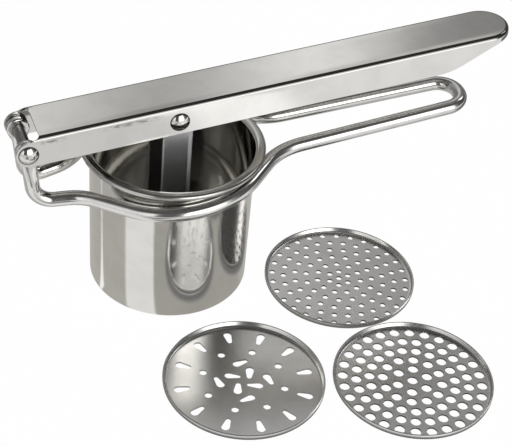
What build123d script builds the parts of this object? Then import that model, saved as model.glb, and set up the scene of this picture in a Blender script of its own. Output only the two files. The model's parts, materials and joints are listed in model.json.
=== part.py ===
from build123d import *
from math import acos, atan2, cos, hypot, pi, radians, sin, sqrt, tan
import os

# Potato ricer of stainless steel, in millimetres.
# The cup stands on the table with its axis on Z, the handles point along +X,
# and the hinge is on the -X side. The wire frame and the lever lie in a plane
# that rises a little towards the handle end, so their sizes are given in that
# plane: u along the handles, v across them, w square to the plane.

# Cup
cup_height = 79.1
cup_bottom_radius = 39.7
cup_top_radius = 40.3
cup_sheet = 0.7
cup_corner_radius = 2.4
rim_width = 4.7
rim_corner_radius = 2.0
rim_edge_depth = 1.9
rim_edge_radius = 1.1
lip_width = 4.2

# Wire frame
frame_pitch = 5.6
wire_drop = 9.5
wire_diameter = 7.1
weld_gap = 0.2
upright_clearance = 0.3
upright_bend_radius = 9.0
neck_reach = 5.8
neck_half_width = 14.0
neck_bend_radius = 9.0
shoulder_reach = 5.8
shoulder_half_width = 13.5
shoulder_bend_radius = 32.0
loop_end_u = 152.4
loop_half_width = 10.8
loop_bend_allowance = 0.3

# Hinge
hinge_reach = 20.85
hinge_w = 29.6
pin_diameter = 4.1
running_clearance = 0.05
pin_seat_clearance = 0.02
head_diameter = 9.6
head_height = 2.3
eye_diameter = 11.0
eye_thickness = 3.2
eye_length = 9.0
eye_taper = 6.0
sleeve_diameter = 5.6
washer_diameter = 10.0
washer_thickness = 0.8
side_play = 0.1

# Lever
lever_width = 27.0
lever_sheet = 1.2
pin_below_top = 8.6
lever_depth = 15.2
lever_bend_radius = 2.0
lever_cut_setback = 6.2
lever_end_u = 176.2
ear_center_setback = 0.9
sweep_setback = 35.2
sweep_angle = 24.0
sweep_blend_radius = 30.0
nose_flange_depth = 3.6

# Plunger
plunger_pin_x = -1.5
strap_width = 14.5
strap_sheet = 1.5
strap_clearance = 0.9
strap_bend_radius = 5.0
spacer_diameter = 7.0
spacer_clearance = 0.05
plate_clearance = 4.0
plate_sheet = 1.0
plate_rim_height = 5.0
plate_corner_radius = 2.0
plate_rest_gap = 1.1

# Discs
disc_clearance = 0.4
disc_sheet = 0.8
disc_rim_height = 3.6
disc_corner_radius = 1.6
fine_disc_gap = 10.4
fine_disc_bearing = -21.6
fine_disc_turn = 8.0
medium_disc_gap = 2.2
medium_disc_bearing = -85.6
medium_disc_turn = 4.0
droplet_disc_gap = 12.5
droplet_disc_bearing = -83.5
droplet_disc_turn = 21.0
fine_hole_diameter = 2.7
fine_first_ring = 5.4
fine_rim_margin = 4.0
fine_ring_counts = [6, 11, 15, 20, 26, 29]
medium_hole_diameter = 4.8
medium_first_ring = 7.9
medium_rim_margin = 5.0
medium_ring_counts = [6, 12, 19, 25, 28]
drop_length = 7.8
drop_head_diameter = 4.0
drop_tail_diameter = 2.4
drop_hole_diameter = 3.6
drop_rim_margin = 3.2
outer_drop_count = 12
middle_hole_count = 8
middle_hole_radius = 20.5
middle_hole_start = 33.5
inner_drop_count = 4
inner_drop_radius = 12.0
inner_drop_start = 53.4
inner_drop_slant = 81.0
core_drop_radius = 6.0
core_drop_start = 17.9
core_drop_slant = 24.0

slant = radians(frame_pitch)
wire_height = cup_height - wire_drop
wire_radius = wire_diameter / 2
lever_half = lever_width / 2
lever_top_w = hinge_w + pin_below_top
lever_low_w = lever_top_w - lever_depth
lever_inner_half = lever_half - lever_sheet
upright_v = lever_inner_half - washer_thickness - upright_clearance - eye_thickness / 2
ear_radius = hinge_w - lever_low_w
eye_inner_v = upright_v - eye_thickness / 2
sleeve_length = 2 * (eye_inner_v - side_play)
bore_diameter = pin_diameter + 2 * running_clearance
seat_diameter = pin_diameter + 2 * pin_seat_clearance
frame_place = Location((0, 0, wire_height), (0, -frame_pitch, 0))
plate_radius = min(cup_bottom_radius, cup_top_radius) - cup_sheet - plate_clearance
plate_floor_height = cup_sheet + disc_sheet + plate_rest_gap
disc_radius = cup_bottom_radius - cup_sheet - disc_clearance


def cup_wall_radius(z):
    return cup_bottom_radius + (cup_top_radius - cup_bottom_radius) * z / cup_height


# The wire runs round the cup on this radius, clear of the wall at its lowest and its highest point.
wire_rise = cup_top_radius * sin(slant)
hug_radius = wire_radius + weld_gap + max(
    cup_wall_radius(wire_height - wire_rise), cup_wall_radius(wire_height + wire_rise))
neck_u = -hug_radius - neck_reach
shoulder_u = hug_radius + shoulder_reach
hinge_u = neck_u - hinge_reach
lever_cut_u = hinge_u + lever_cut_setback
sweep_start_u = lever_end_u - sweep_setback


def world_x(u, w):
    return u * cos(slant) - w * sin(slant)


def world_z(u, w):
    return wire_height + u * sin(slant) + w * cos(slant)


# The second rivet stands at the height of the hinge above the frame's plane.
plunger_pin_u = (plunger_pin_x + hinge_w * sin(slant)) / cos(slant)
plunger_pin_z = world_z(plunger_pin_u, hinge_w)


def sheet_of_revolution(points, radii, sheet):
    """Thin pressed wall around Z, from the middle line of its section."""
    line = FilletPolyline(*[(x, 0, z) for x, z in points], radius=radii)
    section = trace(Plane.XZ.to_local_coords(line), line_width=sheet)
    return revolve(Plane.XZ * section, Axis.Z)


def rod(diameter, length, u, w):
    """Round bar across the frame, centred on v = 0, in the frame's plane."""
    return Location((u, 0, w), (90, 0, 0)) * Cylinder(diameter / 2, length)


def make_cup():
    half = cup_sheet / 2
    rim_z = cup_height - half
    points = [
        (cup_bottom_radius - lip_width, half),
        (cup_bottom_radius - half, half),
        (cup_top_radius - half, rim_z),
        (cup_top_radius + rim_width - half, rim_z),
        (cup_top_radius + rim_width - half, cup_height - rim_edge_depth),
    ]
    radii = [cup_corner_radius, rim_corner_radius, rim_edge_radius]
    return sheet_of_revolution(points, radii, cup_sheet)


def tangent_angle(u, v, radius, side):
    """Angle of the point where a line from (u, v) touches a circle about the origin."""
    return atan2(v, u) + side * acos(radius / hypot(u, v))


def make_wire_frame():
    neck = tangent_angle(neck_u, -neck_half_width, hug_radius, 1) + 2 * pi
    shoulder = tangent_angle(shoulder_u, -shoulder_half_width, hug_radius, -1) + 2 * pi
    middle = (neck + shoulder) / 2
    reach = hug_radius / cos((shoulder - neck) / 2)
    side = [
        (hinge_u, -upright_v, hinge_w),
        (hinge_u, -upright_v, 0),
        (neck_u, -neck_half_width, 0),
        (reach * cos(middle), reach * sin(middle), 0),
        (shoulder_u, -shoulder_half_width, 0),
        (loop_end_u, -loop_half_width, 0),
    ]
    other_side = [(u, -v, w) for u, v, w in reversed(side)]
    loop_bend_radius = loop_half_width - loop_bend_allowance
    bends = [upright_bend_radius, neck_bend_radius, hug_radius, shoulder_bend_radius, loop_bend_radius]
    path = FilletPolyline(*side, *other_side, radius=bends + bends[::-1])
    start = Plane(path @ 0, z_dir=path % 0)
    wire = sweep(start * Circle(wire_radius), path)
    wire -= Location((hinge_u, 0, hinge_w)) * flattening()
    eye = extrude(Plane.XZ * eye_face(), eye_thickness / 2, both=True)
    for v in (-upright_v, upright_v):
        wire += Location((hinge_u, v, hinge_w)) * eye
    return frame_place * (wire - rod(bore_diameter, lever_width, hinge_u, hinge_w))


def flattening():
    """What is pressed away from the two wire ends, so that they are flat at the pin."""
    outer = upright_v + eye_thickness / 2
    taper_low = -eye_length - eye_taper
    faces = Sketch()
    for side in (-1, 1):
        faces += make_face(Polyline(
            (0, eye_diameter),
            (side * eye_inner_v, eye_diameter),
            (side * eye_inner_v, -eye_length),
            (side * (eye_inner_v - wire_radius), taper_low),
            (0, taper_low),
            close=True))
        faces += make_face(Polyline(
            (side * outer, eye_diameter),
            (side * outer, -eye_length),
            (side * (outer + wire_radius), taper_low),
            (side * (outer + wire_diameter), taper_low),
            (side * (outer + wire_diameter), eye_diameter),
            close=True))
    return extrude(Plane.YZ * faces, eye_diameter, both=True)


def eye_face():
    """Round eye about the pin that narrows to the width of the flattened wire below it."""
    radius = eye_diameter / 2
    flat_half = sqrt(wire_radius ** 2 - (eye_thickness / 2) ** 2)
    touch = tangent_angle(flat_half, -eye_length, radius, 1)
    side = radius * cos(touch)
    height = radius * sin(touch)
    neck = make_face(Polyline(
        (-flat_half, -eye_length), (flat_half, -eye_length), (side, height), (-side, height), close=True))
    return neck + Circle(radius)


def make_sleeve():
    tube = rod(sleeve_diameter, sleeve_length, hinge_u, hinge_w)
    return frame_place * (tube - rod(bore_diameter, sleeve_length, hinge_u, hinge_w))


def make_washers():
    washers = Part()
    for side in (-1, 1):
        v = side * (lever_inner_half - washer_thickness / 2)
        ring = Cylinder(washer_diameter / 2, washer_thickness) - Cylinder(seat_diameter / 2, washer_thickness)
        washers += frame_place * Location((hinge_u, v, hinge_w), (90, 0, 0)) * ring
    return washers


def make_rivet(u):
    """Rivet across the lever with a domed head on each side."""
    head_radius = head_diameter / 2
    dome_radius = (head_radius ** 2 + head_height ** 2) / (2 * head_height)
    cap = Sphere(dome_radius) & Location((0, 0, dome_radius)) * Box(
        head_diameter, head_diameter, 2 * head_height)
    rivet = rod(pin_diameter, lever_width, u, hinge_w)
    for side in (-1, 1):
        seat = side * (lever_half - (dome_radius - head_height))
        rivet += Location((u, seat, hinge_w), (-side * 90, 0, 0)) * cap
    return frame_place * rivet


def lever_plan(inset):
    """Plan of the channel with a round nose, drawn in from the outside by inset."""
    half = lever_half - inset
    back = hinge_u - lever_width
    nose = lever_end_u - lever_half
    return make_face(
        Line((back, -half), (nose, -half))
        + ThreePointArc((nose, -half), (nose + half, 0), (nose, half))
        + Line((nose, half), (back, half))
        + Line((back, half), (back, -half)))


def lever_block(inset, height, bend_radius):
    """Solid block on the lever's plan, rounded along its top edge but not at the hinge end."""
    block = Location((0, 0, lever_low_w)) * extrude(lever_plan(inset), height)
    top_edges = block.edges().group_by(Axis.Z)[-1]
    return fillet(top_edges.sort_by(Axis.X)[1:], bend_radius)


def make_lever():
    outside = lever_block(0, lever_depth, lever_bend_radius)
    inside = lever_block(lever_sheet, lever_depth - lever_sheet, lever_bend_radius - lever_sheet)
    channel = outside - inside
    # Side view: round ears at the hinge, a straight lower edge, then a sweep up to the nose.
    ear_u = hinge_u + ear_center_setback
    sweep_w = lever_top_w - nose_flange_depth
    sweep_u = sweep_start_u + (sweep_w - lever_low_w) / tan(radians(sweep_angle))
    lower = FilletPolyline(
        (ear_u, lever_low_w), (sweep_start_u, lever_low_w), (sweep_u, sweep_w),
        (lever_end_u + lever_sheet, sweep_w), radius=sweep_blend_radius)
    upper = Polyline(
        (lever_end_u + lever_sheet, sweep_w), (lever_end_u + lever_sheet, lever_top_w + lever_sheet),
        (lever_cut_u, lever_top_w + lever_sheet), (lever_cut_u, lever_top_w), (ear_u, hinge_w + ear_radius))
    ear = ThreePointArc((ear_u, hinge_w + ear_radius), (ear_u - ear_radius, hinge_w), (ear_u, lever_low_w))
    side = Plane.XZ * make_face(lower + upper + ear)
    lever = channel & extrude(side, lever_width, both=True)
    gap_length = lever_cut_u - hinge_u + lever_width
    gap = Location((lever_cut_u - gap_length / 2, 0, lever_top_w)) * Box(
        gap_length, 2 * lever_inner_half, 2 * lever_depth)
    lever -= gap
    lever -= rod(seat_diameter, lever_width * 2, hinge_u, hinge_w)
    lever -= rod(seat_diameter, lever_width * 2, plunger_pin_u, hinge_w)
    return frame_place * lever


def make_strap():
    """Bent strap: two arms with round ends at the rivet, and a web that lies on the plate."""
    half = lever_inner_half - strap_clearance - strap_sheet / 2
    web_z = plate_floor_height + plate_sheet + strap_sheet / 2
    top_z = plunger_pin_z + strap_width / 2
    corners = [(half, top_z), (half, web_z), (-half, web_z), (-half, top_z)]
    line = FilletPolyline(*corners, radius=strap_bend_radius)
    strip = extrude(Plane.YZ * trace(line, line_width=strap_sheet), strap_width / 2, both=True)
    outline = Rectangle(strap_width, plunger_pin_z, align=(Align.CENTER, Align.MIN))
    outline += Location((0, plunger_pin_z)) * Circle(strap_width / 2)
    strap = strip & extrude(Plane.XZ * outline, lever_width, both=True)
    hole = Location((0, 0, plunger_pin_z), (90, 0, 0)) * Cylinder(bore_diameter / 2, lever_width)
    return Location((plunger_pin_x, 0, 0)) * (strap - hole)


def make_spacer():
    half = lever_inner_half - strap_clearance - strap_sheet - spacer_clearance
    tube = Cylinder(spacer_diameter / 2, 2 * half) - Cylinder(bore_diameter / 2, 2 * half)
    return Location((plunger_pin_x, 0, plunger_pin_z), (90, 0, 0)) * tube


def make_plate():
    half = plate_sheet / 2
    points = [
        (0, half),
        (plate_radius - half, half),
        (plate_radius - half, plate_rim_height),
    ]
    plate = sheet_of_revolution(points, [plate_corner_radius], plate_sheet)
    return Location((plunger_pin_x, 0, plate_floor_height)) * plate


def blank_disc():
    """Disc lying rim up: a flat floor with a low rim turned up at the edge."""
    half = disc_sheet / 2
    points = [
        (0, half),
        (disc_radius - half, half),
        (disc_radius - half, disc_rim_height),
    ]
    return sheet_of_revolution(points, [disc_corner_radius], disc_sheet)


def pierced_disc(openings, place, turn):
    cutter = extrude(openings, disc_rim_height, both=True)
    return Location((*place, 0), (0, 0, turn)) * (blank_disc() - cutter)


def ring_of_holes(first_ring, last_ring, counts, diameter):
    """One hole in the middle and rings of holes round it, evenly spaced from the first ring to the last."""
    holes = Sketch() + Circle(diameter / 2)
    step = (last_ring - first_ring) / (len(counts) - 1)
    for index, count in enumerate(counts):
        holes += PolarLocations(first_ring + index * step, count) * Circle(diameter / 2)
    return holes


def drop_shape():
    """Drop with its round head at +X and a narrow tail at -X, centred on its length."""
    head = drop_head_diameter / 2
    tail = drop_tail_diameter / 2
    head_x = drop_length / 2 - head
    tail_x = tail - drop_length / 2
    lean = acos((head - tail) / (head_x - tail_x))
    top_head = (head_x - head * cos(lean), head * sin(lean))
    top_tail = (tail_x - tail * cos(lean), tail * sin(lean))
    low_head = (top_head[0], -top_head[1])
    low_tail = (top_tail[0], -top_tail[1])
    return make_face(
        Line(top_tail, top_head)
        + ThreePointArc(top_head, (head_x + head, 0), low_head)
        + Line(low_head, low_tail)
        + ThreePointArc(low_tail, (tail_x - tail, 0), top_tail))


def drop_pattern():
    """Ring of radial drops, a ring of round holes, and two small rings of slanted drops in the middle."""
    drop = drop_shape()
    inner_drop = Rotation(0, 0, inner_drop_slant) * drop
    core_drop = Rotation(0, 0, core_drop_slant) * drop
    hole = Circle(drop_hole_diameter / 2)
    outer_drop_radius = disc_radius - drop_rim_margin - drop_length / 2
    openings = Sketch()
    openings += PolarLocations(outer_drop_radius, outer_drop_count) * drop
    openings += PolarLocations(middle_hole_radius, middle_hole_count, start_angle=middle_hole_start) * hole
    openings += PolarLocations(inner_drop_radius, inner_drop_count, start_angle=inner_drop_start) * inner_drop
    openings += PolarLocations(core_drop_radius, inner_drop_count, start_angle=core_drop_start) * core_drop
    return openings


def place_beside(start, gap, bearing, other_radius):
    """Centre of a disc that lies beside something round, at a bearing from its centre."""
    reach = other_radius + gap + disc_radius
    return (start[0] + reach * cos(radians(bearing)), start[1] + reach * sin(radians(bearing)))


fine_disc_place = place_beside((0, 0), fine_disc_gap, fine_disc_bearing, cup_bottom_radius)
medium_disc_place = place_beside(fine_disc_place, medium_disc_gap, medium_disc_bearing, disc_radius)
droplet_disc_place = place_beside((0, 0), droplet_disc_gap, droplet_disc_bearing, cup_bottom_radius)
fine_holes = ring_of_holes(
    fine_first_ring, disc_radius - fine_rim_margin, fine_ring_counts, fine_hole_diameter)
medium_holes = ring_of_holes(
    medium_first_ring, disc_radius - medium_rim_margin, medium_ring_counts, medium_hole_diameter)

parts = {
    "wire_frame": make_wire_frame(),
    "cup": make_cup(),
    "hinge_sleeve": make_sleeve(),
    "hinge_washers": make_washers(),
    "hinge_pin": make_rivet(hinge_u),
    "lever": make_lever(),
    "plunger_pin": make_rivet(plunger_pin_u),
    "plunger_spacer": make_spacer(),
    "plunger_strap": make_strap(),
    "press_plate": make_plate(),
    "fine_disc": pierced_disc(fine_holes, fine_disc_place, fine_disc_turn),
    "medium_disc": pierced_disc(medium_holes, medium_disc_place, medium_disc_turn),
    "droplet_disc": pierced_disc(drop_pattern(), droplet_disc_place, droplet_disc_turn),
}

os.makedirs("parts", exist_ok=True)
for name, solid in parts.items():
    export_step(solid, f"parts/{name}.step")
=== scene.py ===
import json
import math

import bmesh
import bpy
from mathutils import Matrix, Vector


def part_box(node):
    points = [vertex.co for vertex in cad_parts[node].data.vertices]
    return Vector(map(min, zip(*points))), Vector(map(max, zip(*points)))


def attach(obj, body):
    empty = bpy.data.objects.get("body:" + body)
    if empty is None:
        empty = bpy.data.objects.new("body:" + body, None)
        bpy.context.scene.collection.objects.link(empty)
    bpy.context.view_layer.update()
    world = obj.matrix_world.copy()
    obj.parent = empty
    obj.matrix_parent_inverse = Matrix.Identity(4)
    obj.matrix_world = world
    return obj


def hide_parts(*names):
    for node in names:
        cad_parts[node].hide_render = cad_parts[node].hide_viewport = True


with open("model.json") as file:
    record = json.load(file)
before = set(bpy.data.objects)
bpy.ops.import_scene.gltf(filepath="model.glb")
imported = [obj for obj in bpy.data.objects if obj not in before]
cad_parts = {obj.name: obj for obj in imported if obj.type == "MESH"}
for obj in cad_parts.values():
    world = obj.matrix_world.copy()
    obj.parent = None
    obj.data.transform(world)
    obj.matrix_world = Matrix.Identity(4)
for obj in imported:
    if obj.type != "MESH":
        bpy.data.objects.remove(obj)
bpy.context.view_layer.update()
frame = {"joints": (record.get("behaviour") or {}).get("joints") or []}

mm = 0.001
tiny = 1e-6
scene = bpy.context.scene
scene.view_settings.view_transform = "Standard"

# Handles are measured from the hinge pin: a along them, v across them and h square to both.
pivots = {joint["name"]: Vector(joint["pos_m"]) for joint in frame["joints"] if "pos_m" in joint}
hingePin = pivots["lever_hinge"]
plungerPin = pivots["plunger_pivot"]
along = (plungerPin - hingePin).normalized()
across = Vector((0, 1, 0))
upward = along.cross(across)


def onHandle(a, v, h):
    return hingePin + (along * a + across * v + upward * h) * mm


# Node boards: sums are written as plain expressions, other nodes come from add().

class Flow:
    def __init__(self, board, socket):
        self.board = board
        self.socket = socket

    def math(self, operation, *others):
        inputs = dict(enumerate((self, *others)))
        return self.board.add("ShaderNodeMath", dict(operation=operation), inputs)

    def __add__(self, other):
        return self.math("ADD", other)

    __radd__ = __add__

    def __mul__(self, other):
        return self.math("MULTIPLY", other)

    def __sub__(self, other):
        return self.math("SUBTRACT", other)

    def __rsub__(self, other):
        return self.board.add("ShaderNodeMath", dict(operation="SUBTRACT"), {0: other, 1: self})

    def __truediv__(self, other):
        return self.math("DIVIDE", other)

    def between(self, low, high):  # 0 at low, 1 at high, smooth in between
        settings = dict(interpolation_type="SMOOTHSTEP", clamp=True)
        return self.board.add("ShaderNodeMapRange", settings, {0: self, 1: low, 2: high, 3: 0.0, 4: 1.0})

    def within(self, rise, fall):  # 1 between two smooth edges
        return self.between(*rise) * self.between(*fall)

    def toward(self, other, share):  # self where share is 0, other where it is 1
        return self * (1 - share) + share * other


class Board:
    def __init__(self, tree):
        self.tree = tree

    def add(self, kind, settings=None, inputs=None, out=0):
        node = self.tree.nodes.new(kind)
        for key, value in (settings or {}).items():
            if key == "stops":
                self.setStops(node.color_ramp, value)
            else:
                setattr(node, key, value)
        for key, value in (inputs or {}).items():
            if isinstance(value, Flow):
                self.tree.links.new(value.socket, node.inputs[key])
            else:
                node.inputs[key].default_value = value
        if not node.outputs:
            return node
        return Flow(self, node.outputs[out])

    def setStops(self, ramp, stops):
        ramp.interpolation = "EASE"
        while len(ramp.elements) < len(stops):
            ramp.elements.new(1.0)
        for element, (position, shade) in zip(ramp.elements, stops):
            element.position = position
            element.color = (shade, shade, shade, 1.0)

    def mix(self, share, under, over):  # colour: under where share is 0, over where it is 1
        under, over = [end if isinstance(end, Flow) else (*end, 1.0) for end in (under, over)]
        return self.add("ShaderNodeMix", dict(data_type="RGBA"), {0: share, 6: under, 7: over}, out=2)

    def noise(self, place, scale, detail, roughness=0.5):
        return self.add("ShaderNodeTexNoise", None, {
            "Vector": place, "Scale": scale, "Detail": detail, "Roughness": roughness})

    def parts(self, vector):  # x, y and z of a vector
        node = self.tree.nodes.new("ShaderNodeSeparateXYZ")
        self.tree.links.new(vector.socket, node.inputs[0])
        return [Flow(self, socket) for socket in node.outputs]


def emptyBoard(tree):
    tree.nodes.clear()
    return Board(tree)


def length(first, second):
    return (first * first + second * second).math("SQRT")


def alongAxis(x, z, axis):
    return x * axis.x + z * axis.z


# Outlines and shapes shared by the pressed and turned pieces.

def spread(low, high, count):
    return [low + (high - low) * step / count for step in range(count + 1)]


def filletLine(points, bends, stepDegrees=7.5):
    line = [Vector(points[0])]
    for before, corner, after, radius in zip(points, points[1:], points[2:], bends):
        before, corner, after = Vector(before), Vector(corner), Vector(after)
        back = (before - corner).normalized()
        ahead = (after - corner).normalized()
        turn = math.pi - back.angle(ahead)
        setback = radius * math.tan(turn / 2)
        middle = corner + (back + ahead).normalized() * (radius / math.cos(turn / 2))
        start = corner + back * setback - middle
        finish = corner + ahead * setback - middle
        steps = max(2, math.ceil(math.degrees(turn) / stepDegrees))
        for step in range(steps + 1):
            share = step / steps
            weights = math.sin((1 - share) * turn), math.sin(share * turn)
            line.append(middle + (start * weights[0] + finish * weights[1]) / math.sin(turn))
    line.append(Vector(points[-1]))
    return line


def sheetLoop(line, sheet, endSteps=4):
    # Closed section of a sheet of even thickness with rounded edges, from its middle line.
    sides = []
    for index, point in enumerate(line):
        ahead = line[min(index + 1, len(line) - 1)] - point
        behind = point - line[max(index - 1, 0)]
        run = (ahead.normalized() + behind.normalized()).normalized()
        sides.append(Vector((-run.y, run.x)) * sheet / 2)
    loop = [point + side for point, side in zip(line, sides)]
    loop += roundEdge(line[-1], sides[-1], endSteps)
    loop += [point - side for point, side in zip(reversed(line), reversed(sides))]
    if line[0].x > tiny:
        loop += roundEdge(line[0], -sides[0], endSteps)
    return loop


def roundEdge(point, side, steps):
    turned = Vector((side.y, -side.x))
    angles = [math.pi * step / steps for step in range(1, steps)]
    return [point + side * math.cos(angle) + turned * math.sin(angle) for angle in angles]


def tubeLoop(inner, outer, span, edge, steps=4):
    # Section of a tube with rounded edges.
    half = span / 2
    corners = [(inner + edge, edge - half, 180), (outer - edge, edge - half, 270),
               (outer - edge, half - edge, 0), (inner + edge, half - edge, 90)]
    loop = []
    for middle, height, start in corners:
        for degrees in spread(start, start + 90, steps):
            angle = math.radians(degrees)
            loop.append(Vector((middle + edge * math.cos(angle), height + edge * math.sin(angle))))
    return loop


def latheMesh(loop, turns, place=Matrix()):
    # Closed (radius, height) loop spun round Z, then placed.
    body = bmesh.new()
    rings = []
    for turn in range(turns):
        angle = 2 * math.pi * turn / turns
        spot = [Vector((at.x * math.cos(angle), at.x * math.sin(angle), at.y)) for at in loop]
        rings.append([body.verts.new(place @ (point * mm)) for point in spot])
    count = len(loop)
    for ring, nextRing in zip(rings, rings[1:] + rings[:1]):
        for index in range(count):
            after = (index + 1) % count
            if max(loop[index].x, loop[after].x) > tiny:
                body.faces.new((ring[index], nextRing[index], nextRing[after], ring[after]))
    return closedMesh(body)


def closedMesh(body, weld=1e-7):
    bmesh.ops.remove_doubles(body, verts=body.verts, dist=weld)
    bmesh.ops.dissolve_degenerate(body, edges=body.edges, dist=weld)
    bmesh.ops.recalc_face_normals(body, faces=body.faces)
    mesh = bpy.data.meshes.new("shape")
    body.to_mesh(mesh)
    body.free()
    return mesh


def skin(body, rows):
    # Quads between neighbouring rows of points.
    made = [[body.verts.new(point) for point in row] for row in rows]
    for row, nextRow in zip(made, made[1:]):
        for index in range(len(row) - 1):
            body.faces.new((row[index], nextRow[index], nextRow[index + 1], row[index + 1]))


def acrossAt(spot):
    # Places a turned piece with its axis across the handles.
    return Matrix.Translation(spot) @ Matrix.Rotation(-math.pi / 2, 4, "X")


def bothSides(loop, turns, v):
    # The same turned piece on either side of the hinge.
    body = bmesh.new()
    for side in (-v, v):
        body.from_mesh(latheMesh(loop, turns, acrossAt(onHandle(0, side, 0))))
    return body


def discPlace(node):
    # Middle of a disc and its radius, in mm.
    low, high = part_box(node)
    return (low + high) / 2 / mm, (high.x - low.x) / 2 / mm


def newObject(name, data):
    piece = bpy.data.objects.new(name, data)
    scene.collection.objects.link(piece)
    return piece


def bake(piece):
    # Turns the evaluated piece into a plain mesh and drops its modifiers.
    depsgraph = bpy.context.evaluated_depsgraph_get()
    mesh = bpy.data.meshes.new_from_object(piece.evaluated_get(depsgraph))
    if piece.type == "MESH":
        piece.modifiers.clear()
        piece.data = mesh
        return piece
    name = piece.name
    bpy.data.objects.remove(piece)
    return newObject(name, mesh)


def thicken(piece, sheet, offset, fineNormals=False):
    # Gives an open skin its thickness, inwards at -1 and both ways at 0.
    wall = piece.modifiers.new("wall", "SOLIDIFY")
    wall.thickness = sheet * mm
    wall.offset = offset
    wall.use_even_offset = True
    wall.use_quality_normals = fineNormals
    return bake(piece)


def finishPiece(piece, finish, body, nodes, sharpDegrees=38):
    mesh = piece.data
    mesh.name = piece.name
    mesh.materials.clear()
    mesh.materials.append(finish)
    mesh.shade_smooth()
    mesh.set_sharp_from_angle(angle=math.radians(sharpDegrees))
    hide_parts(*nodes)
    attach(piece, body)
    print("made", piece.name, len(mesh.polygons), "faces")


# Geometry node trees

def newTree(name, inputs):
    tree = bpy.data.node_groups.new(name, "GeometryNodeTree")
    tree.interface.new_socket("Geometry", in_out="INPUT", socket_type="NodeSocketGeometry")
    for label, kind in inputs.items():
        tree.interface.new_socket(label, in_out="INPUT", socket_type="NodeSocket" + kind)
    tree.interface.new_socket("Geometry", in_out="OUTPUT", socket_type="NodeSocketGeometry")
    board = Board(tree)
    entry = tree.nodes.new("NodeGroupInput")
    return board, {socket.name: Flow(board, socket) for socket in entry.outputs if socket.name}


def closeTree(board, shape, finish):
    real = board.add("GeometryNodeRealizeInstances", None, {0: shape})
    painted = board.add("GeometryNodeSetMaterial", None, {"Geometry": real, "Material": finish})
    board.add("NodeGroupOutput", None, {0: painted})


def growPiece(host, tree, values):
    grown = host.modifiers.new("grow", "NODES")
    grown.node_group = tree
    for item in tree.interface.items_tree:
        if item.in_out == "INPUT" and item.name in values:
            grown[item.identifier] = values[item.name]
    return bake(host)


def circle(board, steps, radius):
    values = {"Resolution": steps, "Radius": radius}
    return board.add("GeometryNodeCurvePrimitiveCircle", dict(mode="RADIUS"), values)


def joined(board, shapes):
    join = board.tree.nodes.new("GeometryNodeJoinGeometry")
    for shape in shapes:
        board.tree.links.new(shape.socket, join.inputs[0])
    return Flow(board, join.outputs[0])


def wireTree():
    board, given = newTree("bentWire", {
        "Wire Radius": "Float", "Bend Steps": "Int", "Round Steps": "Int", "Finish": "Material"})
    bend = board.add("GeometryNodeInputRadius")
    bent = board.add("GeometryNodeFilletCurve", dict(mode="POLY"), {
        "Curve": given["Geometry"], "Count": given["Bend Steps"], "Radius": bend, "Limit Radius": True})
    even = board.add("GeometryNodeSetCurveRadius", None, {"Curve": bent, "Radius": 1.0})
    ring = circle(board, given["Round Steps"], given["Wire Radius"])
    tube = board.add("GeometryNodeCurveToMesh", None, {
        "Curve": even, "Profile Curve": ring, "Fill Caps": True})
    closeTree(board, tube, given["Finish"])
    return board.tree


def perforationTree():
    # Flat floor with an opening at each host point: round ones where kind is 0, drops where it is 1.
    board, given = newTree("piercedFloor", {
        "Floor Radius": "Float", "Floor Sheet": "Float", "Floor Steps": "Int",
        "Hole Radius": "Float", "Hole Steps": "Int", "Drop": "Object", "Finish": "Material"})
    kind, turn = [
        board.add("GeometryNodeInputNamedAttribute", dict(data_type="FLOAT"), {"Name": name})
        for name in ("kind", "turn")]
    spin = board.add("ShaderNodeCombineXYZ", None, {"Z": turn})
    isDrop = board.add("FunctionNodeCompare", dict(data_type="FLOAT"), {0: kind, 1: 0.5})
    isRound = board.add("FunctionNodeBooleanMath", dict(operation="NOT"), {0: isDrop})
    hole = circle(board, given["Hole Steps"], given["Hole Radius"])
    drop = board.add("GeometryNodeObjectInfo", None, {"Object": given["Drop"]}, out="Geometry")
    points = given["Geometry"]
    holes = board.add("GeometryNodeInstanceOnPoints", None, {
        "Points": points, "Selection": isRound, "Instance": hole, "Rotation": spin})
    drops = board.add("GeometryNodeInstanceOnPoints", None, {
        "Points": points, "Selection": isDrop, "Instance": drop, "Rotation": spin})
    edge = circle(board, given["Floor Steps"], given["Floor Radius"])
    outlines = board.add("GeometryNodeRealizeInstances", None, {0: joined(board, (edge, holes, drops))})
    floor = board.add("GeometryNodeFillCurve", dict(mode="TRIANGLES"), {"Curve": outlines})
    raised = board.add("GeometryNodeExtrudeMesh", dict(mode="FACES"), {
        "Mesh": floor, "Offset Scale": given["Floor Sheet"], "Individual": False})
    under = board.add("GeometryNodeFlipFaces", None, {"Mesh": floor})
    closeTree(board, joined(board, (raised, under)), given["Finish"])
    return board.tree


def rivetTree():
    board, given = newTree("rivetsInPlace", {"Rivet": "Object", "Finish": "Material"})
    rivet = board.add("GeometryNodeObjectInfo", None, {"Object": given["Rivet"]}, out="Geometry")
    placed = board.add("GeometryNodeInstanceOnPoints", None, {
        "Points": given["Geometry"], "Instance": rivet})
    closeTree(board, placed, given["Finish"])
    return board.tree


# Finishes

def newFinish(name):
    finish = bpy.data.materials.new(name)
    finish.use_nodes = True
    board = emptyBoard(finish.node_tree)
    return finish, board, board.add("ShaderNodeTexCoord", None, None, out="Object")


def metalOut(board, color, roughness, normal):
    shader = board.add("ShaderNodeBsdfPrincipled", None, {
        "Base Color": color, "Roughness": roughness, "Metallic": 1.0, "Normal": normal})
    board.add("ShaderNodeOutputMaterial", None, {"Surface": shader})


toneShare = (0.35, 0.7)
grainDepth = 0.006 * mm


def steelTone(board, place, look):
    # Slow change of tone over the metal, with faint stains.
    stain = board.noise(place, look["toneScale"], detail=4.0, roughness=0.6)
    return board.mix(stain.between(*toneShare), look["light"], look["dark"])


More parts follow.
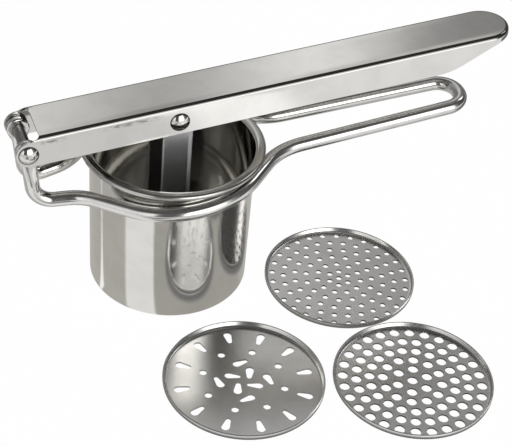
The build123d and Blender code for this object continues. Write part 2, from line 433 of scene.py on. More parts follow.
def streaks(board, place, stretch):
    longGrain = board.add("ShaderNodeMapping", None, {"Vector": place, "Scale": stretch})
    return board.noise(longGrain, 1.0, detail=3.0, roughness=0.65)


def bump(board, height, strength, depth):
    return board.add("ShaderNodeBump", None, {
        "Height": height, "Strength": strength, "Distance": depth})


def rolledSheet(board, place, look):
    # Fine grain, roughness and tone of a rolled sheet.
    grain = streaks(board, place, look["grain"])
    smear = board.noise(place, look["smearScale"], detail=3.0)
    roughness = (grain + smear - 1) * look["gloss"] + look["roughness"]
    return grain, roughness, steelTone(board, place, look)


def leaningGrain(board, grain, height, look):
    # Grain on walls that seem to open outwards.
    drop = height * -math.tan(math.radians(look["flare"]))
    return bump(board, grain * grainDepth + drop, strength=1.0, depth=1.0)


leverLook = dict(light=(0.80, 0.785, 0.755), dark=(0.74, 0.725, 0.695), toneScale=60.0,
                 roughness=0.085, gloss=0.06, grain=(30, 1800, 1800), smearScale=35.0, flare=6.5)
paintedFoldAndStains = dict(tone=(0.22, 0.215, 0.205), side=(11.6, 12.1), height=(6.9, 7.5), stain=0.75,
                 stainGrain=(250, 900, 900), stainShare=(0.42, 0.6), nearSide=(0.0, -1.0),
                 stainHeight=((3.6, 4.8), (6.5, 5.7)),
                 stainAlong=[((34, 42), (66, 54)), ((5, 8), (20, 12))])


def leverFinish():
    # Satin sheet with a painted dark reflection line along the fold and two stained patches on the near
    # side.
    finish, board, place = newFinish("leverSteel")
    grain, roughness, color = rolledSheet(board, place, leverLook)
    x, y, z = board.parts(place)
    a = (alongAxis(x, z, along) - hingePin.dot(along)) / mm
    h = (alongAxis(x, z, upward) - hingePin.dot(upward)) / mm
    v = y / mm
    pastNose = (a - (lever["end"] - lever["width"] / 2)).math("MAXIMUM", 0.0)
    # Painted dark reflection: the colour is darkened along the fold line.
    fold = length(v, pastNose).between(*paintedFoldAndStains["side"]) * h.between(*paintedFoldAndStains["height"])
    color = board.mix(fold, color, paintedFoldAndStains["tone"])
    stain = streaks(board, place, paintedFoldAndStains["stainGrain"]).between(*paintedFoldAndStains["stainShare"])
    patches = sum(a.within(*patch) for patch in paintedFoldAndStains["stainAlong"])
    patches = patches * h.within(*paintedFoldAndStains["stainHeight"]) * v.between(*paintedFoldAndStains["nearSide"])
    color = board.mix(stain * patches * paintedFoldAndStains["stain"], color, paintedFoldAndStains["tone"])
    metalOut(board, color, roughness, leaningGrain(board, grain, alongAxis(x, z, upward), leverLook))
    return finish


strapLook = dict(light=(0.78, 0.785, 0.79), dark=(0.70, 0.705, 0.715), toneScale=60.0,
                 roughness=0.34, gloss=0.06, grain=(1800, 1800, 40), smearScale=35.0, flare=5.0)
strapWearAndPaintedShade = dict(scratch=4.6, scratchWidth=(1.1, 0.5), edge=(-8.0, -8.4), dulling=0.2, grainDulling=0.3,
                 inner=(10.5, 10.2), innerPaintedShade=(0.34, 0.33, 0.32))


def strapFinish():
    # Satin sheet with a pale scratched band down its arms, and painted shade darkening the inner faces
    # between the arms.
    finish, board, place = newFinish("strapSteel")
    grain, roughness, color = rolledSheet(board, place, strapLook)
    x, y, z = board.parts(place)
    wide = x / mm
    scratch = (wide - strapWearAndPaintedShade["scratch"]).math("ABSOLUTE").between(*strapWearAndPaintedShade["scratchWidth"])
    dull = scratch + wide.between(*strapWearAndPaintedShade["edge"])
    roughness = roughness + dull * (grain * strapWearAndPaintedShade["grainDulling"] + strapWearAndPaintedShade["dulling"])
    # Painted shade on the inner faces between the arms.
    inner = (y / mm).math("ABSOLUTE").between(*strapWearAndPaintedShade["inner"])
    color = board.mix(inner, color, strapWearAndPaintedShade["innerPaintedShade"])
    metalOut(board, color, roughness, leaningGrain(board, grain, alongAxis(x, z, upward), strapLook))
    return finish


cupLook = dict(light=(0.78, 0.77, 0.74), dark=(0.72, 0.71, 0.68), toneScale=45.0, roughness=0.04,
               gloss=0.08, streakScale=55.0, streakRise=0.002, streakHeight=0.3, waveScale=7.0,
               relief=(0.08, 0.6 * mm),
               inside=dict(radius=(38.7, 38.5), height=(74.0, 70.0), roughness=0.24),
               rim=dict(radius=(41.5, 42.3), height=(76.5, 77.2), roughness=0.14, tone=(0.58, 0.57, 0.545)))


def drawnFinish(name, look):
    # Drawn cup: faint upright streaks round the wall, without a seam, and painted shade darkening the flat
    # rim.
    finish, board, place = newFinish(name)
    x, y, z = [part / mm for part in board.parts(place)]
    radius = length(x, y)
    reach = radius + 1.0  # never nought on the axis
    around = {"X": x / reach, "Y": y / reach, "Z": z * look["streakRise"]}
    flat = board.add("ShaderNodeCombineXYZ", None, around)
    streak = board.noise(flat, look["streakScale"], detail=4.0, roughness=0.7)
    wave = board.noise(flat, look["waveScale"], detail=2.0)
    inside, rim = [radius.between(*zone["radius"]) * z.between(*zone["height"])
                   for zone in (look["inside"], look["rim"])]
    roughness = streak * look["gloss"] + look["roughness"]
    roughness = roughness + inside * look["inside"]["roughness"] + rim * look["rim"]["roughness"]
    # Painted shade: the flat rim is given a darker colour.
    color = board.mix(rim, steelTone(board, place, look), look["rim"]["tone"])
    metalOut(board, color, roughness, bump(board, streak * look["streakHeight"] + wave, *look["relief"]))
    return finish


smoothLook = dict(toneScale=120.0, speckScale=700.0, speckGloss=0.06, waveScale=90.0, waveGloss=0.05,
                  relief=(0.03, 0.5 * mm))
wireLook = dict(smoothLook, light=(0.80, 0.79, 0.77), dark=(0.72, 0.71, 0.69), roughness=0.16)
sleeveLook = dict(smoothLook, light=(0.36, 0.355, 0.345), dark=(0.31, 0.305, 0.295), roughness=0.42)
rivetLook = dict(smoothLook, light=(0.78, 0.76, 0.73), dark=(0.68, 0.66, 0.63), roughness=0.08,
                 ring=dict(tone=(0.2, 0.195, 0.19), inner=(4.05, 4.55), outer=(6.0, 5.5)))


def smoothFinish(name, look):
    # Drawn or turned steel, with a ring of painted shade at the foot of the rivets' heads.
    finish, board, place = newFinish(name)
    speck = board.noise(place, look["speckScale"], detail=3.0)
    wave = board.noise(place, look["waveScale"], detail=2.0)
    uneven = (speck - 0.5) * look["speckGloss"] + (wave - 0.5) * look["waveGloss"]
    color = steelTone(board, place, look)
    # Painted shade: a dark ring round each pin where the heads meet the sheet.
    if "ring" in look:
        x, z = board.parts(place)[::2]
        for pin in (hingePin, plungerPin):
            off = length(x - pin.x, z - pin.z) / mm
            share = off.within(look["ring"]["inner"], look["ring"]["outer"])
            color = board.mix(share, color, look["ring"]["tone"])
    metalOut(board, color, uneven + look["roughness"], bump(board, wave, *look["relief"]))
    return finish


discLook = dict(light=(0.78, 0.77, 0.75), dark=(0.70, 0.69, 0.67), toneScale=50.0, roughness=0.22,
                gloss=0.04, grain=(1500, 60, 1500), smearScale=40.0, flare=20.0, holePaintedShade=(0.3, 0.29, 0.28))
mediumLook = dict(discLook, roughness=0.27)
discWalls = dict(steep=(0.6, 0.4), holes=(-2.6, -3.0), rim=(1.5, 1.0), inward=(0.0, -5.0))


def wallMasks(board, place):
    # One mask for the painted shade on the walls of the holes, and one for walls that face the middle of
    # their disc.
    x, y = [part / mm for part in board.parts(place)[:2]]
    facing = board.add("ShaderNodeNewGeometry", None, None, out="Normal")
    facingX, facingY, facingZ = board.parts(facing)
    holes, inward = 0.0, 0.0
    for node in ("fine_disc", "medium_disc", "droplet_disc"):
        middle, radius = discPlace(node)
        offX, offY = x - middle.x, y - middle.y
        past = length(offX, offY) - radius
        holes = past.between(*discWalls["holes"]) + holes
        toMiddle = (offX * facingX + offY * facingY).between(*discWalls["inward"])
        inward = toMiddle * past.between(*discWalls["rim"]) + inward
    return holes * facingZ.math("ABSOLUTE").between(*discWalls["steep"]), inward


def discFinish(name, look):
    # Rolled sheet with painted shade on the walls in the holes, and rims that seem to lean outwards.
    finish, board, place = newFinish(name)
    grain, roughness, color = rolledSheet(board, place, look)
    holes, inward = wallMasks(board, place)
    # Painted shade on the walls of the holes.
    color = board.mix(holes, color, look["holePaintedShade"])
    height = board.parts(place)[2] * inward
    metalOut(board, color, roughness, leaningGrain(board, grain, height, look))
    return finish


cupSteel = drawnFinish("cupSteel", cupLook)
wireSteel = smoothFinish("wireSteel", wireLook)
rivetSteel = smoothFinish("rivetSteel", rivetLook)
sleeveSteel = smoothFinish("sleeveSteel", sleeveLook)
discSteel = discFinish("discSteel", discLook)
mediumSteel = discFinish("mediumSteel", mediumLook)
print("finishes ready")


# Cup: pressed wall, turned-in lip at the foot, and a flat rim with its edge turned down.
cup = dict(sheet=0.7, bottomRadius=39.7, topRadius=40.3, lip=4.2, foot=2.4, rim=4.7, rimBend=2.0,
           edgeDepth=1.9, edgeBend=1.1, turns=192)


def makeCup():
    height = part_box("cup")[1].z / mm
    half = cup["sheet"] / 2
    rimRadius = cup["topRadius"] + cup["rim"] - half
    points = [
        (cup["bottomRadius"] - cup["lip"], half),
        (cup["bottomRadius"] - half, half),
        (cup["topRadius"] - half, height - half),
        (rimRadius, height - half),
        (rimRadius, height - cup["edgeDepth"]),
    ]
    line = filletLine(points, [cup["foot"], cup["rimBend"], cup["edgeBend"]])
    piece = newObject("cup_wall", latheMesh(sheetLoop(line, cup["sheet"]), cup["turns"]))
    finishPiece(piece, cupSteel, "frame", ["cup"])


# Wire frame: one bent wire from the hinge round the cup to the handle loop and back, with flat eyes.
wire = dict(radius=3.55, drop=29.6, cupAlong=70.658, hug=44.008, uprightV=9.6, neckReach=5.2, neckV=14.1,
            shoulderReach=5.8, shoulderV=13.5, loopEnd=223.058, loopV=10.8, uprightBend=9.0, neckBend=24.0,
            shoulderBend=32.0, loopBend=10.5, bendSteps=28, roundSteps=28)
eye = dict(radius=5.5, sheet=3.2, edge=0.9, neckWide=5.0, neckThin=1.5, flatFrom=-19.0, flatTo=-6.5,
           neckEnd=-3.0, neckSteps=16, turns=64)
hinge = dict(sleeveRadius=2.8, sleeveEdge=0.25, boreRadius=2.1, washerBore=2.07, washerRadius=5.0,
             washerSheet=0.8, washerEdge=0.15, sidePlay=0.1, turns=48)


def wireCorners():
    # (along, across, height, bend) of one side, from the hinge to the end of the loop.
    hug = wire["hug"]
    neck = (-hug - wire["neckReach"], -wire["neckV"])
    shoulder = (hug + wire["shoulderReach"], -wire["shoulderV"])
    neckTouch = math.atan2(neck[1], neck[0]) + math.acos(hug / math.hypot(*neck))
    shoulderTouch = math.atan2(shoulder[1], shoulder[0]) - math.acos(hug / math.hypot(*shoulder))
    middle = (neckTouch + shoulderTouch) / 2
    reach = hug / math.cos((shoulderTouch - neckTouch) / 2)
    plan = [
        (-wire["cupAlong"], -wire["uprightV"], wire["uprightBend"]),
        (*neck, wire["neckBend"]),
        (reach * math.cos(middle), reach * math.sin(middle), hug),
        (*shoulder, wire["shoulderBend"]),
        (wire["loopEnd"] - wire["cupAlong"], -wire["loopV"], wire["loopBend"]),
    ]
    low = [(a + wire["cupAlong"], v, -wire["drop"], bend) for a, v, bend in plan]
    heights = spread(eye["neckEnd"], eye["flatFrom"], eye["neckSteps"])
    neckRings = [(0, -wire["uprightV"], h, 0) for h in heights]
    return neckRings + low


def flattenEnds(mesh):
    # Presses the wire's two ends flat and wide where they run into the eyes.
    for vertex in mesh.vertices:
        off = vertex.co - hingePin
        a, v, h = off.dot(along) / mm, off.y / mm, off.dot(upward) / mm
        if h < eye["flatFrom"]:
            continue
        pressed = min((h - eye["flatFrom"]) / (eye["flatTo"] - eye["flatFrom"]), 1.0)
        pressed = pressed * pressed * (3 - 2 * pressed)
        opened = max((h - eye["flatTo"]) / (eye["neckEnd"] - eye["flatTo"]), 0)
        wide = 1 + (eye["neckWide"] / wire["radius"] - 1) * opened
        thin = 1 + (eye["neckThin"] / wire["radius"] - 1) * pressed
        middle = math.copysign(wire["uprightV"], v)
        vertex.co = onHandle(a * wide, middle + (v - middle) * thin, h)


def makeWire():
    side = wireCorners()
    corners = side + [(a, -v, h, bend) for a, v, h, bend in reversed(side)]
    path = bpy.data.curves.new("wirePath", "CURVE")
    path.dimensions = "3D"
    spline = path.splines.new("POLY")
    spline.points.add(len(corners) - 1)
    for point, (a, v, h, bend) in zip(spline.points, corners):
        point.co = (*onHandle(a, v, h), 1)
        point.radius = bend * mm
    piece = growPiece(newObject("wire_frame_bent", path), wireTree(), {
        "Wire Radius": wire["radius"] * mm, "Bend Steps": wire["bendSteps"],
        "Round Steps": wire["roundSteps"], "Finish": wireSteel})
    flattenEnds(piece.data)
    ring = tubeLoop(hinge["boreRadius"], eye["radius"], eye["sheet"], eye["edge"])
    body = bothSides(ring, eye["turns"], wire["uprightV"])
    body.from_mesh(piece.data)
    piece.data = closedMesh(body)
    finishPiece(piece, wireSteel, "frame", ["wire_frame"])


def makeHinge():
    inner = lever["width"] / 2 - lever["sheet"]
    width = 2 * (wire["uprightV"] - eye["sheet"] / 2 - hinge["sidePlay"])
    loop = tubeLoop(hinge["boreRadius"], hinge["sleeveRadius"], width, hinge["sleeveEdge"])
    sleeve = newObject("hinge_sleeve_tube", latheMesh(loop, hinge["turns"], acrossAt(hingePin)))
    finishPiece(sleeve, sleeveSteel, "frame", ["hinge_sleeve"])
    ring = tubeLoop(hinge["washerBore"], hinge["washerRadius"], hinge["washerSheet"], hinge["washerEdge"])
    body = bothSides(ring, hinge["turns"], inner - hinge["washerSheet"] / 2)
    washers = newObject("hinge_washer_pair", closedMesh(body))
    finishPiece(washers, rivetSteel, "lever", ["hinge_washers"])


# Rivets: the same domed rivet at the hinge and at the plunger.
rivet = dict(shankRadius=2.05, headRadius=4.8, headHeight=2.3, edge=0.35, domeSteps=14, turns=56)


def rivetLoop():
    half = lever["width"] / 2
    radius = (rivet["headRadius"] ** 2 + rivet["headHeight"] ** 2) / (2 * rivet["headHeight"])
    center = half + rivet["headHeight"] - radius
    rise = math.asin(rivet["headRadius"] / radius)
    dome = []
    for angle in spread(rise, 0, rivet["domeSteps"]):
        dome.append(Vector((radius * math.sin(angle), center + radius * math.cos(angle))))
    dome[0] = Vector((rivet["headRadius"], half + rivet["edge"]))
    top = [Vector((rivet["shankRadius"], half)), Vector((rivet["headRadius"] - rivet["edge"], half))] + dome
    return [Vector((point.x, -point.y)) for point in reversed(top)] + top


def makeRivets():
    source = newObject("rivetShape", latheMesh(rivetLoop(), rivet["turns"], acrossAt((0, 0, 0))))
    spots = bpy.data.meshes.new("rivetSpots")
    spots.from_pydata([hingePin, plungerPin], [], [])
    piece = growPiece(newObject("rivet_pair", spots), rivetTree(), {"Rivet": source, "Finish": rivetSteel})
    bpy.data.objects.remove(source)
    finishPiece(piece, rivetSteel, "lever", ["hinge_pin", "plunger_pin"])


# Lever: folded channel with round ears at the hinge and a round nose.
lever = dict(width=27.0, sheet=1.2, top=8.6, low=-6.6, bend=2.0, cut=6.2, end=246.858, earSetback=0.9,
             cutCurve=1.5, sweepSetback=35.2, sweepAngle=24.0, sweepBlend=30.0, noseDepth=3.6)
leverSteps = dict(flat=3, fold=8, wall=6, ear=14, cut=10, straight=60, nose=48, sweepDegrees=2.0)


def leverLowerEdge():
    low, high = lever["low"], lever["top"] - lever["noseDepth"]
    start = lever["end"] - lever["sweepSetback"]
    finish = start + (high - low) / math.tan(math.radians(lever["sweepAngle"]))
    points = [(-lever["width"], low), (start, low), (finish, high), (lever["end"] + lever["sheet"], high)]
    return filletLine(points, [lever["sweepBlend"]] * 2, leverSteps["sweepDegrees"])


def heightOn(line, a):
    for left, right in zip(line, line[1:]):
        if left.x <= a <= right.x and right.x > left.x:
            return left.y + (right.y - left.y) * (a - left.x) / (right.x - left.x)
    return line[-1].y


def leverRow(lowerEdge, a, outA, outV, withTop):
    # One row of the sheet, from the middle of the top over the fold to the lower edge.
    half, bend, ear = lever["width"] / 2, lever["bend"], lever["earSetback"]
    edgeA = a + outA * half
    topH, lowH = lever["top"] - bend, heightOn(lowerEdge, edgeA)
    if edgeA < ear:
        topH = math.sqrt(max(lever["low"] ** 2 - (edgeA - ear) ** 2, 0))
        lowH = -topH
    row, foldStart = [], 0.0
    if withTop:
        flat = spread(0, half - bend, leverSteps["flat"])[:-1]
        row = [(a + outA * d, outV * d, lever["top"]) for d in flat]
    else:
        rise = min(max((a - ear) / (lever["cut"] - ear), 0), 1) ** lever["cutCurve"]
        foldStart = math.acos(rise)
    for angle in spread(foldStart, math.pi / 2, leverSteps["fold"]):
        d = half - bend + bend * math.sin(angle)
        row.append((a + outA * d, outV * d, topH + bend * math.cos(angle)))
    row += [(edgeA, outV * half, h) for h in spread(topH, lowH, leverSteps["wall"])[1:]]
    return [onHandle(*point) for point in row]


def makeLever():
    ear, earRadius = lever["earSetback"], -lever["low"]
    nose = lever["end"] - lever["width"] / 2
    lowerEdge = leverLowerEdge()
    earStations = [ear - earRadius * math.cos(angle) for angle in spread(0, math.pi / 2, leverSteps["ear"])]
    earStations += spread(ear, lever["cut"], leverSteps["cut"])[1:]
    straight = spread(lever["cut"], nose, leverSteps["straight"])
    body = bmesh.new()
    for side in (-1, 1):
        skin(body, [leverRow(lowerEdge, a, 0, side, False) for a in earStations])
        skin(body, [leverRow(lowerEdge, a, 0, side, True) for a in straight])
    fan = spread(-math.pi / 2, math.pi / 2, leverSteps["nose"])
    skin(body, [leverRow(lowerEdge, nose, math.cos(angle), math.sin(angle), True) for angle in fan])
    mesh = closedMesh(body, weld=1e-6)
    if max(mesh.polygons, key=lambda face: face.center.z).normal.z < 0:
        mesh.flip_normals()
    piece = thicken(newObject("lever_channel", mesh), lever["sheet"], -1.0, fineNormals=True)
    finishPiece(piece, leverFinish(), "lever", ["lever"])


# Plunger: bent strap on the second rivet, a spacer tube between its arms, and the press plate.
strap = dict(width=14.5, sheet=1.5, clearance=0.9, bend=5.0, web=4.35, endSteps=14, armSteps=10,
             wideSteps=8, spacerRadius=3.5, spacerGap=0.05, spacerEdge=0.2, spacerTurns=48)
plate = dict(radius=35.0, sheet=1.0, rim=5.0, bend=2.0, turns=128)


def makeStrap():
    halfGap = lever["width"] / 2 - lever["sheet"] - strap["clearance"] - strap["sheet"] / 2
    pinX, pinZ = plungerPin.x / mm, plungerPin.z / mm
    endRadius = strap["width"] / 2
    points = [(halfGap, pinZ), (halfGap, strap["web"]), (-halfGap, strap["web"]), (-halfGap, pinZ)]
    line = filletLine(points, [strap["bend"]] * 2)
    ends = spread(math.pi / 2, 0, strap["endSteps"])
    arm = [Vector((halfGap, pinZ + endRadius * math.sin(angle))) for angle in ends]
    arm += [Vector((halfGap, z)) for z in spread(pinZ, line[1].y, strap["armSteps"])][1:-1]
    farArm = [Vector((-point.x, point.y)) for point in reversed(arm)]
    shares = spread(-1, 1, strap["wideSteps"])
    rows = []
    for point in arm + line[1:-1] + farArm:
        high = max(point.y - pinZ, 0)
        wide = math.sqrt(max(endRadius ** 2 - high ** 2, 0))
        rows.append([Vector((pinX + wide * share, point.x, point.y)) * mm for share in shares])
    body = bmesh.new()
    skin(body, rows)
    piece = thicken(newObject("plunger_strap_bent", closedMesh(body, weld=1e-6)), strap["sheet"], 0.0)
    finishPiece(piece, strapFinish(), "plunger", ["plunger_strap"])


def makePlunger():
    makeStrap()
    inner = lever["width"] / 2 - lever["sheet"] - strap["clearance"] - strap["sheet"] - strap["spacerGap"]
    loop = tubeLoop(hinge["boreRadius"], strap["spacerRadius"], 2 * inner, strap["spacerEdge"])
    spacer = newObject("plunger_spacer_tube", latheMesh(loop, strap["spacerTurns"], acrossAt(plungerPin)))
    finishPiece(spacer, wireSteel, "plunger", ["plunger_spacer"])
    half = plate["sheet"] / 2
    points = [(0, half), (plate["radius"] - half, half), (plate["radius"] - half, plate["rim"])]
    line = filletLine(points, [plate["bend"]])
    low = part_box("press_plate")[0]
    place = Matrix.Translation((plungerPin.x, 0, low.z))
    mesh = latheMesh(sheetLoop(line, plate["sheet"]), plate["turns"], place)
    dish = newObject("press_plate_dish", mesh)
    finishPiece(dish, cupSteel, "plunger", ["press_plate"])


# Discs: pierced floors with a low rim.
disc = dict(sheet=0.8, rim=3.6, bend=1.6, steps=192, holeSteps=20, dropSteps=10)
fineDisc = dict(node="fine_disc", turn=8.0, hole=1.46, first=5.4, margin=4.0,
                counts=[6, 11, 15, 20, 26, 29], finish=discSteel)
mediumDisc = dict(node="medium_disc", turn=4.0, hole=2.5, first=7.9, margin=5.0,
                  counts=[6, 12, 19, 25, 28], finish=mediumSteel)
dropletDisc = dict(node="droplet_disc", turn=25.5, hole=1.8, length=7.8, head=2.0, tail=1.2, margin=4.8,
                   outerCount=12, middleRadius=19.8, middleCount=8, middleStart=33.5,
                   innerCount=4, inner=[dict(radius=12.0, start=53.4, slant=110.0),
                                        dict(radius=6.0, start=17.9, slant=24.0)], finish=discSteel)


def ringSpots(radius, count, start, kind, slant=0.0):
    spots = []
    for index in range(count):
        angle = math.radians(start + 360 * index / count)
        x, y = radius * math.cos(angle), radius * math.sin(angle)
        spots.append((x, y, angle + math.radians(slant), kind))
    return spots


def roundSpots(look, radius):
    outer = radius - look["margin"]
    step = (outer - look["first"]) / (len(look["counts"]) - 1)
    spots = ringSpots(0, 1, 0, 0)
    for index, count in enumerate(look["counts"]):
        spots += ringSpots(look["first"] + index * step, count, look["turn"], 0)
    return spots


def dropSpots(look, radius):
    turn = look["turn"]
    outer = radius - look["margin"] - look["length"] / 2
    spots = ringSpots(outer, look["outerCount"], turn, 1)
    spots += ringSpots(look["middleRadius"], look["middleCount"], turn + look["middleStart"], 0)
    for ring in look["inner"]:
        spots += ringSpots(ring["radius"], look["innerCount"], turn + ring["start"], 1, ring["slant"])
    return spots


def dropOutline(look):
    # Closed curve of a drop, round head at +X and narrow tail at -X.
    headX = look["length"] / 2 - look["head"]
    tailX = look["tail"] - look["length"] / 2
    lean = math.acos((look["head"] - look["tail"]) / (headX - tailX))
    points = []
    for middle, radius, low, high in (
            (headX, look["head"], -(math.pi - lean), math.pi - lean),
            (tailX, look["tail"], math.pi - lean, math.pi + lean)):
        angles = spread(low, high, disc["dropSteps"])
        points += [(middle + radius * math.cos(angle), radius * math.sin(angle)) for angle in angles]
    outline = bpy.data.curves.new("dropOutline", "CURVE")
    outline.dimensions = "2D"
    outline.fill_mode = "NONE"
    spline = outline.splines.new("POLY")
    spline.use_cyclic_u = True
    spline.points.add(len(points) - 1)
    for point, (x, y) in zip(spline.points, points):
        point.co = (x * mm, y * mm, 0, 1)
    return newObject("dropOutline", outline)


def makeDisc(look, tree, drop):
    middle, radius = discPlace(look["node"])
    place = Matrix.Translation((middle.x * mm, middle.y * mm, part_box(look["node"])[0].z))
    spots = roundSpots(look, radius) if "counts" in look else dropSpots(look, radius)
    host = bpy.data.meshes.new("openings")
    host.from_pydata([(x * mm, y * mm, 0) for x, y, turn, kind in spots], [], [])
    for label, column in (("turn", 2), ("kind", 3)):
        values = host.attributes.new(label, "FLOAT", "POINT")
        values.data.foreach_set("value", [spot[column] for spot in spots])
    half = disc["sheet"] / 2
    floorRadius = radius - half - disc["bend"]
    piece = growPiece(newObject(look["node"] + "_pierced", host), tree, {
        "Floor Radius": floorRadius * mm, "Floor Sheet": disc["sheet"] * mm, "Floor Steps": disc["steps"],
        "Hole Radius": look["hole"] * mm, "Hole Steps": disc["holeSteps"], "Drop": drop,
        "Finish": look["finish"]})
    points = [(floorRadius, half), (radius - half, half), (radius - half, disc["rim"] - half)]
    loop = sheetLoop(filletLine(points, [disc["bend"]]), disc["sheet"])
    body = bmesh.new()
    body.from_mesh(piece.data)
    bmesh.ops.transform(body, matrix=place, verts=body.verts)
    body.from_mesh(latheMesh(loop, disc["steps"], place))
    piece.data = closedMesh(body, weld=2e-6)
    finishPiece(piece, look["finish"], look["node"], [look["node"]])


def makeDiscs():
    tree = perforationTree()
    drop = dropOutline(dropletDisc)
    for look in (fineDisc, mediumDisc, dropletDisc):
        makeDisc(look, tree, drop)
    bpy.data.objects.remove(drop)


makeCup()
makeWire()
makeHinge()
makeRivets()
makeLever()
makePlunger()
makeDiscs()


# Studio: camera, pale floor, soft surroundings.
view = dict(azimuth=-23.136, elevation=38.536, distance=731.422, target=(42.052, -18.149, 30.0), roll=5.467,
            focal=1454.336, width=512, height=446, middle=(260.2, 229.17), sensor=36.0, nearest=10.0)


def makeCamera():
    azimuth = math.radians(view["azimuth"])
    elevation = math.radians(view["elevation"])
    roll = math.radians(view["roll"])
    back = Vector((math.sin(azimuth) * math.cos(elevation), -math.cos(azimuth) * math.cos(elevation),
                   math.sin(elevation)))
    level = Vector((math.cos(azimuth), math.sin(azimuth), 0))
    upright = back.cross(level)
    right = level * math.cos(roll) + upright * math.sin(roll)
    up = upright * math.cos(roll) - level * math.sin(roll)
    lens = bpy.data.cameras.new("photoCamera")
    lens.sensor_fit = "HORIZONTAL"
    lens.sensor_width = view["sensor"]
    lens.lens = view["focal"] * lens.sensor_width / view["width"]
    lens.shift_x = (view["width"] / 2 - view["middle"][0]) / view["width"]
    lens.shift_y = (view["middle"][1] - view["height"] / 2) / view["width"]
    lens.clip_start = view["nearest"] * mm
    camera = newObject("photoCamera", lens)
    place = Matrix((right, up, back)).transposed().to_4x4()
    place.translation = (Vector(view["target"]) + back * view["distance"]) * mm
    camera.matrix_world = place
    scene.camera = camera


# Floor: plain paper, and painted pale and dark fields that only polished steel sees on it: painted
# reflections and painted shade.
# A line is (x share, y share, offset), in mm as all places here.
floorLook = dict(reach=4000.0, share=0.95, paper=(0.9, 0.9, 0.9), white=1.03, glare=0.8,
                 besideReach=(6.0, 1.5), besideDisc=0.19, underReach=(0.0, -1.5),
                 underDisc=dict(fine_disc=0.08, medium_disc=0.1, droplet_disc=0.7))
shadeLook = dict(tone=(0.42, 0.41, 0.385), reach=(122.0, 102.0), lighterBehind=1.17)
panelLook = dict(front=(0.054, -0.998, -25.0), side=(-0.726, 0.687, 12.9), soft=(-1.5, 1.5), lift=0.1)
lineLook = dict(middle=(0.692, 0.722, 34.8), width=(2.2, 1.0), end=(-11.0, -9.0), lift=0.3)
frontLook = dict(edge=(-145.0, -160.0), levels=(0.72, 1.17, 0.89), rise=(48.0, 88.0), fall=(132.0, 155.0))
backLook = dict(edge=(-75.0, -45.0), dim=0.3, far=(160.0, 260.0), farDim=0.25)
cornerLook = dict(x=(240.0, 262.0), y=(-150.0, -135.0), level=0.15)
stripLook = dict(middle=(1.0, -0.205, 70.95), width=(40.0, 24.0), edge=(-108.0, -116.0), level=0.25)


def offLine(x, y, line):
    return x * line[0] + y * line[1] + line[2]


def openFloor(x, y, reach, panel, line):
    # Painted reflection levels away from the cup: three at the front, less behind, and a dark corner on the
    # right.
    left, middle, right = frontLook["levels"]
    rise, fall = x.between(*frontLook["rise"]), x.between(*frontLook["fall"])
    front = rise * (middle - left) - fall * (middle - right) + left
    dim = reach.between(*backLook["far"]) * backLook["farDim"] + backLook["dim"]
    dim = dim * y.between(*backLook["edge"]) * (1 - panel) * (1 - line)
    plain = panel * panelLook["lift"] + line * lineLook["lift"] - dim + floorLook["glare"]
    level = plain.toward(front, y.between(*frontLook["edge"]))
    return level.toward(cornerLook["level"], x.between(*cornerLook["x"]) * y.between(*cornerLook["y"]))


def floorGlare(board, place):
    # Painted reflections for glossy rays: a painted grey shade round the cup with a painted pale panel and
    # line in it, a painted dark strip, and painted shade in rings round and under the discs.
    x, y = [part / mm for part in board.parts(place)[:2]]
    reach = length(x, y)
    inFront = offLine(x, y, panelLook["front"]).between(*panelLook["soft"])
    panel = inFront * offLine(x, y, panelLook["side"]).between(*panelLook["soft"])
    line = offLine(x, y, lineLook["middle"]).math("ABSOLUTE").between(*lineLook["width"])
    line = line * y.between(*lineLook["end"])
    shaded = reach.between(*shadeLook["reach"]) * (1 - panel) * (1 - line)
    lighter = [part * shadeLook["lighterBehind"] for part in shadeLook["tone"]]
    shade = board.mix(inFront, lighter, shadeLook["tone"])
    tone = board.mix(shaded, openFloor(x, y, reach, panel, line), shade)
    strip = offLine(x, y, stripLook["middle"]).math("ABSOLUTE").between(*stripLook["width"])
    tone = board.mix(strip * y.between(*stripLook["edge"]), tone, [stripLook["level"]] * 3)
    for node, underLevel in floorLook["underDisc"].items():
        middle, radius = discPlace(node)
        past = length(x - middle.x, y - middle.y) - radius
        tone = board.mix(past.between(*floorLook["besideReach"]), tone, [floorLook["besideDisc"]] * 3)
        tone = board.mix(past.between(*floorLook["underReach"]), tone, [underLevel] * 3)
    return tone


def makeFloor():
    # White to the camera, with a faint shadow of the object.
    mesh = bpy.data.meshes.new("floor")
    reach = floorLook["reach"] * mm
    corners = [(-reach, -reach, 0), (reach, -reach, 0), (reach, reach, 0), (-reach, reach, 0)]
    mesh.from_pydata(corners, [], [(0, 1, 2, 3)])
    floor = newObject("floor", mesh)
    finish, board, place = newFinish("floorPaper")
    seen = board.add("ShaderNodeLightPath", None, None, out="Is Camera Ray")
    glossy = Flow(board, seen.socket.node.outputs["Is Glossy Ray"])
    passing = Flow(board, seen.socket.node.outputs["Is Transmission Ray"])
    share = (seen + glossy + passing).math("MINIMUM", 1.0) * floorLook["share"]
    # Glossy rays see the painted reflection fields instead of plain white.
    tone = board.mix(glossy, (1, 1, 1), floorGlare(board, place))
    paper = board.add("ShaderNodeBsdfDiffuse", None, {"Color": (*floorLook["paper"], 1)})
    white = board.add("ShaderNodeEmission", None, {"Color": tone, "Strength": floorLook["white"]})
    mixed = board.add("ShaderNodeMixShader", None, {0: share, 1: paper, 2: white})
    board.add("ShaderNodeOutputMaterial", None, {"Surface": mixed})
    mesh.materials.append(finish)


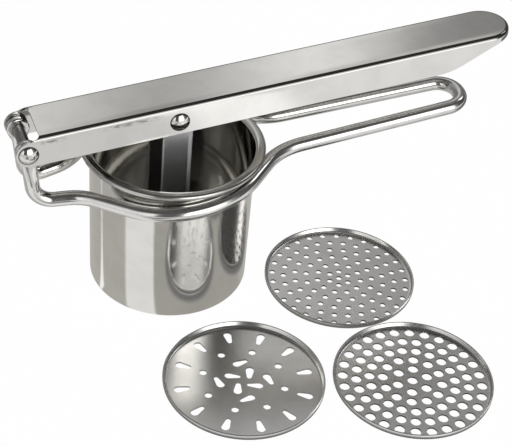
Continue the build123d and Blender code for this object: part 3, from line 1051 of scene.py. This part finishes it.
# Surroundings by bearing in degrees, 0 straight back and more to the right: (bearing, level).
backdrop = [(-180, 1.3), (-150, 1.3), (-115, 0.9), (-90, 0.5), (-60, 0.25), (-20, 0.2), (60, 0.16),
            (90, 0.07), (120, 0.1), (130, 0.25), (142, 0.9), (154, 1.25), (180, 1.3)]
lowRing = [(-180, 1.3), (-157, 1.3), (-110, 0.6), (-60, 0.3), (-12, 0.34), (3, 0.77), (10.5, 0.46),
           (18, 0.91), (25, 0.28), (45, 0.18), (90, 0.07), (120, 0.1), (130, 0.25), (142, 0.9), (154, 1.25),
           (180, 1.3)]
highRing = [(-180, 1.0), (-158, 1.05), (-110, 0.6), (-60, 0.3), (-12, 0.34), (3, 0.73), (10.5, 0.33),
            (16.5, 0.8), (20, 0.64), (32, 0.49), (43, 0.24), (90, 0.07), (120, 0.1), (128, 0.2), (140, 0.9),
            (151, 1.0), (180, 1.0)]
# Edges, lows and tops are sines of the angle over the floor. Widths are degrees to either side.
sky = dict(ceiling=1.4, lowEdge=(0.45, 0.50), highEdge=(0.602, 0.636), horizonLevel=0.6,
           horizon=(0.0, 0.08), back=dict(bearing=23.0, facing=(-0.4, 0.4), rise=0.12),
           overhead=dict(edge=(0.64, 0.70), front=0.09, back=0.10),
           window=dict(gain=0.85, bearing=164.0, width=(25.84, 21.57), top=(0.72, 0.68)),
           panel=dict(level=2.6, bearing=73.0, width=(7.5, 5.5), low=(0.55, 0.58), top=(0.80, 0.76)),
           stand=dict(level=0.1, bearing=-157.0, rise=38.5, width=(17.0, 13.5), soft=0.03))


def cosines(degrees):
    return [math.cos(math.radians(angle)) for angle in degrees]


def ringLevel(board, x, y, z):
    # The three rings of surroundings, one over the other.
    bearing = x.math("ARCTAN2", y) / (2 * math.pi) + 0.5
    rings = []
    for ring in (backdrop, lowRing, highRing):
        stops = [(0.5 + degrees / 360, level / sky["ceiling"]) for degrees, level in ring]
        rings.append(board.add("ShaderNodeValToRGB", dict(stops=stops), {0: bearing}) * sky["ceiling"])
    level = rings[0].toward(rings[1], z.between(*sky["lowEdge"]))
    return level.toward(rings[2], z.between(*sky["highEdge"]))


def makeWorld():
    # Bright on the camera's side, grey behind, dark to the right and overhead. A brighter window and a dark
    # stand are in front, and a pale upright panel on the right.
    world = bpy.data.worlds.new("studio")
    world.use_nodes = True
    scene.world = world
    board = emptyBoard(world.node_tree)
    direction = board.add("ShaderNodeTexCoord", None, None, out="Generated")
    x, y, z = board.parts(direction)
    plan = (1.0001 - z * z).math("SQRT")  # never nought, even straight up

    def facing(degrees):
        angle = math.radians(degrees)
        return x * math.sin(angle) + y * math.cos(angle)

    back, overhead, window = sky["back"], sky["overhead"], sky["window"]
    panel, stand = sky["panel"], sky["stand"]
    level = ringLevel(board, x, y, z).toward(sky["horizonLevel"], 1 - z.between(*sky["horizon"]))
    glass = (facing(window["bearing"]) / plan).between(*cosines(window["width"]))
    glass = glass * z.between(*window["top"])
    level = level * (1 + glass * window["gain"])
    behind = facing(back["bearing"]).between(*back["facing"])
    high = (z - behind * back["rise"]).between(*overhead["edge"]) * (1 - glass)
    level = level.toward(behind * (overhead["back"] - overhead["front"]) + overhead["front"], high)
    bright = (facing(panel["bearing"]) / plan).between(*cosines(panel["width"]))
    level = level.toward(panel["level"], bright * z.within(panel["low"], panel["top"]))
    rise = math.radians(stand["rise"])
    sides = cosines(stand["width"])
    head = (facing(stand["bearing"]) * math.cos(rise) + z * math.sin(rise)).between(*sides)
    below = z.between(math.sin(rise) + stand["soft"], math.sin(rise) - stand["soft"])
    post = (facing(stand["bearing"]) / plan).between(*sides) * below
    level = level.toward(stand["level"], head.math("MAXIMUM", post))
    seen = board.add("ShaderNodeBackground", None, {"Color": (1, 1, 1, 1), "Strength": level})
    board.add("ShaderNodeOutputWorld", None, {"Surface": seen})


makeCamera()
makeFloor()
makeWorld()
print("studio ready")
